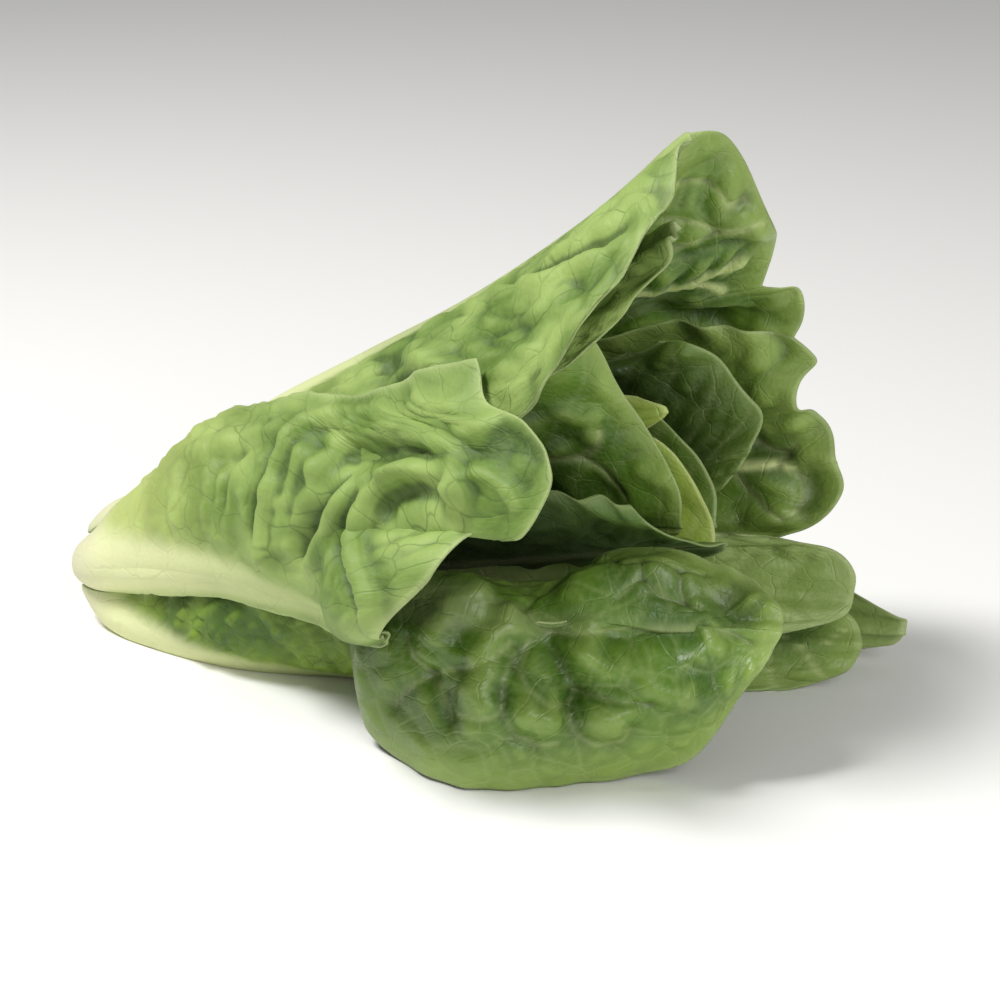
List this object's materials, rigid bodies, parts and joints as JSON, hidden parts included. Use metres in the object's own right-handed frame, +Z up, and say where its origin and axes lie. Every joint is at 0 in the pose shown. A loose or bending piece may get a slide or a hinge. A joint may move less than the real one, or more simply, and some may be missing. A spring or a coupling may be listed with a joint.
{
  "type": "romaine lettuce head",
  "caption": "Romaine lettuce head lying on its side, with ribbed, waved leaves opening out from a cut stem.",
  "frame": {"origin": "on the surface that the head lies on, under the middle of its box", "axes": "+X from the cut stem to the leaf tips, +Z up, and the side with the large outer leaf faces -Y"},
  "size_m": [0.2768, 0.1748, 0.189],
  "materials": {
    "pale_leaf": "satin",
    "green_leaf": "satin",
    "heart_leaf": "satin",
    "stem": "matte"
  },
  "bodies": {
    "root": {"front_outer_leaf": "pale_leaf", "top_outer_leaf": "pale_leaf", "back_outer_leaf": "pale_leaf", "back_low_leaf": "pale_leaf", "upper_inner_leaf": "pale_leaf", "back_top_leaf": "green_leaf", "bottom_leaf": "green_leaf", "front_low_leaf": "green_leaf", "back_under_leaf": "green_leaf", "back_middle_leaf": "green_leaf", "inner_back_leaf": "green_leaf", "inner_front_leaf": "green_leaf", "centre_leaf": "green_leaf", "dim_inner_leaf": "green_leaf", "yellow_inner_leaf": "heart_leaf", "heart_leaf": "heart_leaf", "upper_heart_leaf": "heart_leaf", "stem": "stem"}
  },
  "joints": []
}
